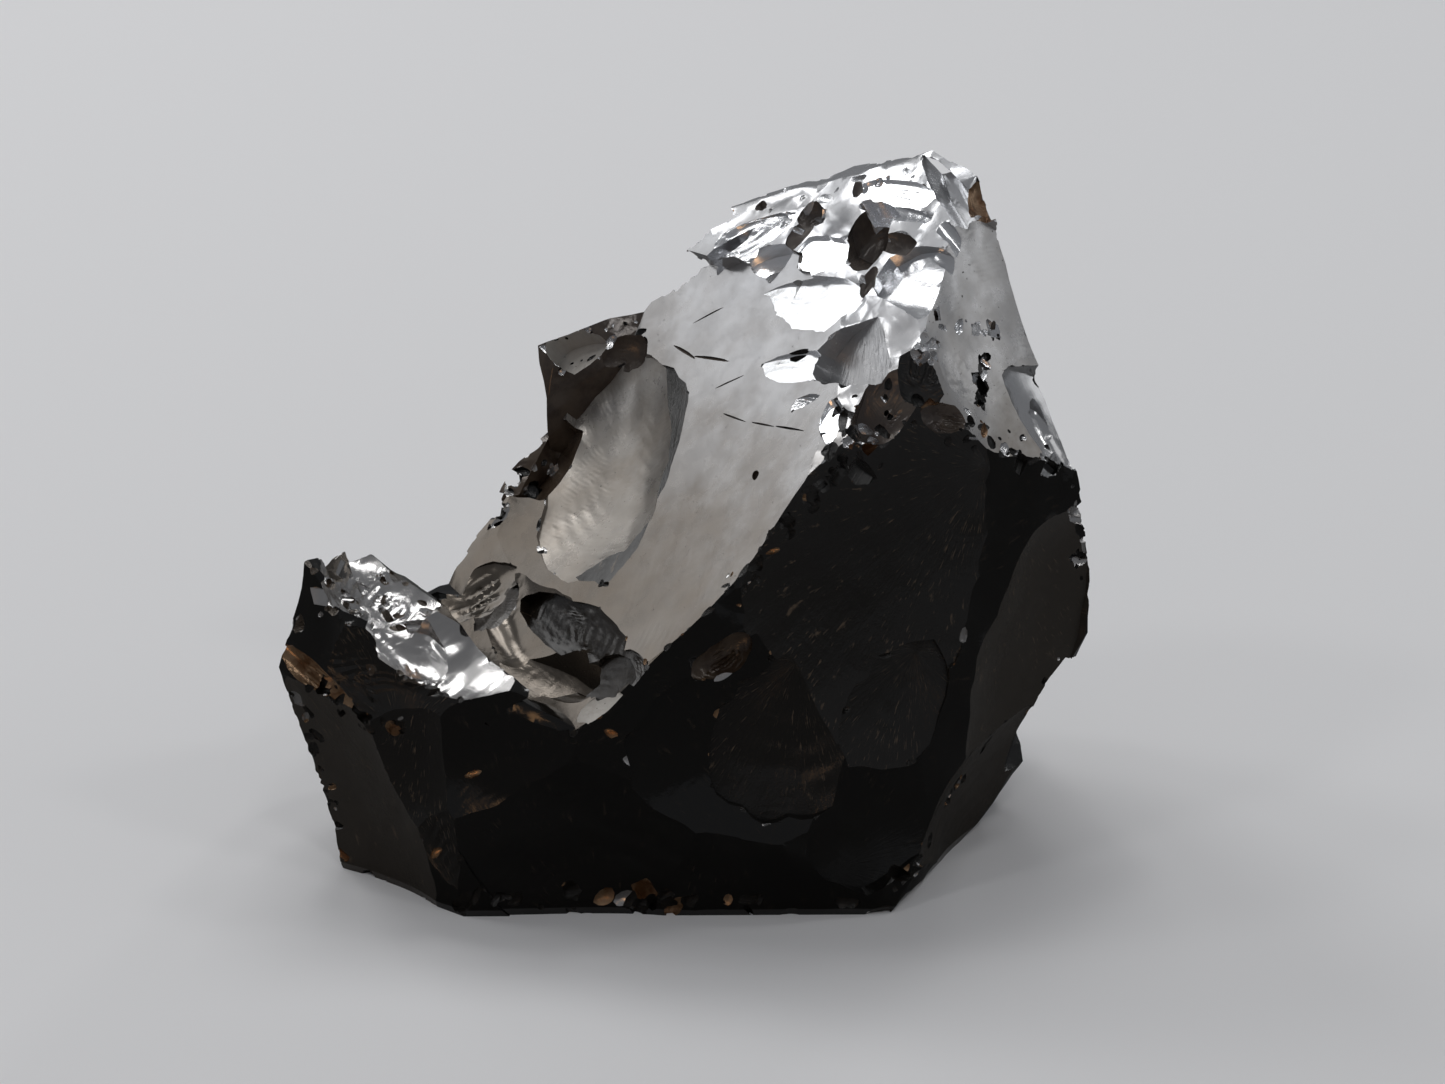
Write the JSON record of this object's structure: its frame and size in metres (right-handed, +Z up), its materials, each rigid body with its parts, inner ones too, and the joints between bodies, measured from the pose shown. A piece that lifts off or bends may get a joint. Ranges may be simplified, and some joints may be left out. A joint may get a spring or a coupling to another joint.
{
  "type": "raw shungite stone",
  "caption": "Broken lump of glassy black shungite with a mirror-smooth sloping face, a curled horn at one end and a tall jagged peak at the other, resting on its flat base.",
  "frame": {"origin": "on the flat base the stone rests on, under the middle of the lump", "axes": "+Z up, +X along the long side from the horn to the shoulder, -Y towards the dark front face"},
  "size_m": [0.0382, 0.0226, 0.0314],
  "materials": {
    "shungite": "glassy black break with a silvery metallic sheen, darker and brown-bronze in the crushed chips"
  },
  "bodies": {
    "root": {"stone": "shungite"}
  },
  "joints": []
}
